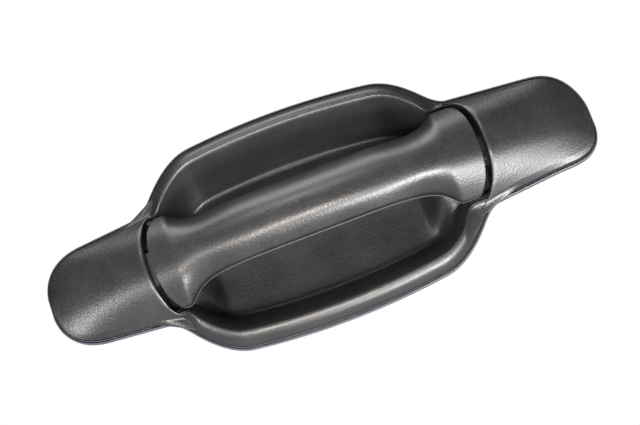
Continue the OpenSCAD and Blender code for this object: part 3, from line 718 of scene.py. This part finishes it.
# ----------------------------------------------------------------- mechanism
def build_spring():
    """Smooth wire round the crank's hub, with one leg to the web."""
    wire, radius, turns, start, pitch = 0.6, 6.5, 3.25, 83.0, 1.7
    steps, around = 220, 14
    bm = bmesh.new()
    centres = []
    for i in range(steps + 1):
        a = 2 * math.pi * turns * i / steps
        centres.append(Vector((start + pitch * turns * i / steps,
                               CRANK_Y + radius * math.cos(a), CRANK_Z + radius * math.sin(a))))
    end = centres[-1]
    centres += [Vector((x, end.y, end.z)) for x in (start + pitch * turns + 0.6, 90.5)]
    rings = []
    for i, c in enumerate(centres):
        ahead = centres[min(i + 1, len(centres) - 1)] - centres[max(i - 1, 0)]
        radial = Vector((0, c.y - CRANK_Y, c.z - CRANK_Z))
        side = ahead.normalized().cross(radial).normalized()
        out = side.cross(ahead).normalized()
        rings.append([bm.verts.new((c + wire * (math.cos(t) * out + math.sin(t) * side)) * MM)
                      for t in (2 * math.pi * k / around for k in range(around))])
    for ra, rb in zip(rings, rings[1:]):
        for k in range(around):
            bm.faces.new((ra[k], ra[(k + 1) % around], rb[(k + 1) % around], rb[k]))
    bm.faces.new(rings[0])
    bm.faces.new(rings[-1])
    place(new_object("spring_wire", bm), "fixed", "crank_spring")


def build_studs():
    """Studs with a round head and a rolled thread behind the shoulder."""
    around, pitch, reach, head = 40, 1.0, 20.0, -GASKET_T - 3
    for side in (-1, 1):
        bm = bmesh.new()
        sections = [(0, head - 2), (4.7, head - 2), (5, head - 1.7), (5, head - 0.3),
                    (4.7, head), (3.4, head), (3.4, -0.2), (3.2, 0)]
        rings = [[(r, s)] * around for r, s in sections]
        count = int((reach - 0.4) / pitch * 10)
        for i in range(count + 1):
            s = 0.4 + (reach - 0.4) * i / count
            fade = clamp((reach - s) / 1.2) * clamp(s / 1.4)
            tip = 0.5 * (1 - clamp((reach - s) / 1.0))
            ring = []
            for k in range(around):
                thread = abs(2 * ((s / pitch - k / around) % 1) - 1)
                ring.append((STUD_R - tip - 0.35 * fade * thread, s))
            rings.append(ring)
        verts = []
        for ring in rings:
            row = []
            for k, (r, s) in enumerate(ring):
                a = 2 * math.pi * k / around
                x, z = side * STUD_X + r * math.cos(a), r * math.sin(a)
                row.append(bm.verts.new((x * MM, s * MM, z * MM)))
            verts.append(row)
        for ra, rb in zip(verts, verts[1:]):
            for k in range(around):
                bm.faces.new((ra[k], ra[(k + 1) % around], rb[(k + 1) % around], rb[k]))
        bm.faces.new(verts[-1])
        bmesh.ops.remove_doubles(bm, verts=bm.verts, dist=1e-6)
        name = "stud_right" if side > 0 else "stud_left"
        place(sharpen(new_object(name, bm), 30), "fixed", "mounting_studs")


def soften(node, body, width):
    """Copy of a CAD node with its edges broken, as cast, stamped and moulded parts have."""
    bm = bmesh.new()
    bm.from_mesh(frame["nodes"][node].data)
    bmesh.ops.remove_doubles(bm, verts=bm.verts, dist=1e-6)
    bmesh.ops.dissolve_limit(bm, angle_limit=math.radians(1), verts=bm.verts, edges=bm.edges)
    obj = new_object(node + "_edged", bm)
    mod = obj.modifiers.new("Bevel", "BEVEL")
    mod.width = width * MM
    mod.segments = 2
    mod.limit_method = "ANGLE"
    mod.angle_limit = math.radians(40)
    mod.harden_normals = True
    place(sharpen(apply_modifiers(obj), 50), body, node)


build_spring()
build_studs()
for node, body, width in (
        ("hinge_bracket", "fixed", 0.35), ("crank_bracket", "fixed", 0.35),
        ("lever_hook", "grip", 0.2), ("bell_crank", "crank", 0.3),
        ("rod_clip", "clip", 0.25), ("counterweight", "crank", 0.3),
        ("grip_screws", "grip", 0.25), ("bracket_screws", "fixed", 0.3),
        ("hook_rivets", "grip", 0.3), ("hinge_pin", "fixed", 0.25),
        ("crank_pin", "fixed", 0.3), ("rest_bumpers", "fixed", 0.2)):
    soften(node, body, width)

for node, obj in frame["nodes"].items():
    if not obj.hide_render:
        for slot in obj.material_slots:
            slot.material = LOOKS[SLOT_OF[node]]


# --------------------------------------------------------------------- stage
def add_camera():
    data = bpy.data.cameras.new("camera")
    data.lens = 85
    data.sensor_width = 36
    obj = bpy.data.objects.new("camera", data)
    bpy.context.collection.objects.link(obj)
    pitch, roll, distance = 13.0, 19.7, 0.70
    target = Vector((-0.0005, -0.008, -0.0029))
    turn = Matrix.Rotation(math.radians(90 + pitch), 4, "X") @ Matrix.Rotation(
        math.radians(-roll), 4, "Z")
    obj.matrix_world = Matrix.Translation(target) @ turn @ Matrix.Translation((0, 0, distance))
    bpy.context.scene.camera = obj


def outwards(azimuth, elevation):
    """Direction away from the handle, 0, 0 being straight out from the door."""
    a, e = math.radians(azimuth), math.radians(elevation)
    return Vector((math.sin(a) * math.cos(e), -math.cos(a) * math.cos(e), math.sin(e)))


def overhead(elevation, spread_deg, strength):
    """Soft light from above that also keeps the floor pale."""
    data = bpy.data.lights.new("overhead", "SUN")
    data.energy = strength
    data.angle = math.radians(spread_deg)
    obj = bpy.data.objects.new("overhead", data)
    obj.rotation_euler = outwards(0, elevation).to_track_quat("Z", "Y").to_euler()
    bpy.context.collection.objects.link(obj)


def softbox(name, azimuth, elevation, distance, size, power, colour=(1, 1, 1)):
    """Area light that faces the handle from a direction, 0, 0 being straight out."""
    data = bpy.data.lights.new(name, "AREA")
    data.shape = "RECTANGLE"
    data.size, data.size_y = size
    data.energy = power
    data.color = colour
    obj = bpy.data.objects.new(name, data)
    away = outwards(azimuth, elevation)
    obj.location = away * distance
    obj.rotation_euler = away.to_track_quat("Z", "Y").to_euler()
    obj.visible_camera = False
    bpy.context.collection.objects.link(obj)


def add_stage():
    """Softboxes in front and below, soft light from above, white backdrop, pale floor."""
    overhead(80, 35, 2.0)
    softbox("front_warm", -5, -23, 0.9, (0.16, 0.14), 10, (1.0, 0.92, 0.84))
    softbox("front_high", -4, 38, 0.9, (0.2, 0.3), 3)
    softbox("low_right", 26, -49, 0.9, (0.3, 0.2), 16)
    softbox("far_right", 50, -34, 0.9, (0.3, 0.18), 4)
    softbox("far_left", -50, -16, 0.9, (0.3, 0.18), 6)
    world = bpy.data.worlds.new("studio")
    bpy.context.scene.world = world
    world.use_nodes = True
    nodes, links = world.node_tree.nodes, world.node_tree.links
    ray = nodes.new("ShaderNodeLightPath")
    level = nodes.new("ShaderNodeMapRange")
    level.inputs["To Min"].default_value = 0.14
    level.inputs["To Max"].default_value = 1.0
    links.new(ray.outputs["Is Camera Ray"], level.inputs["Value"])
    links.new(level.outputs["Result"], nodes["Background"].inputs["Strength"])
    nodes["Background"].inputs["Color"].default_value = (1, 1, 1, 1)
    bm = bmesh.new()
    bmesh.ops.create_grid(bm, x_segments=1, y_segments=1, size=10)
    floor = new_object("floor", bm, False)
    floor.location = (0, 0, -1.1)
    pale = look("pale_floor", (0.80, 0.80, 0.80), (0.84, 0.84, 0.84), (0.7, 0.8), 40, 0.01)
    floor.data.materials.append(pale)
    view = bpy.context.scene.view_settings
    view.view_transform = "Standard"
    view.look = "None"


add_camera()
add_stage()
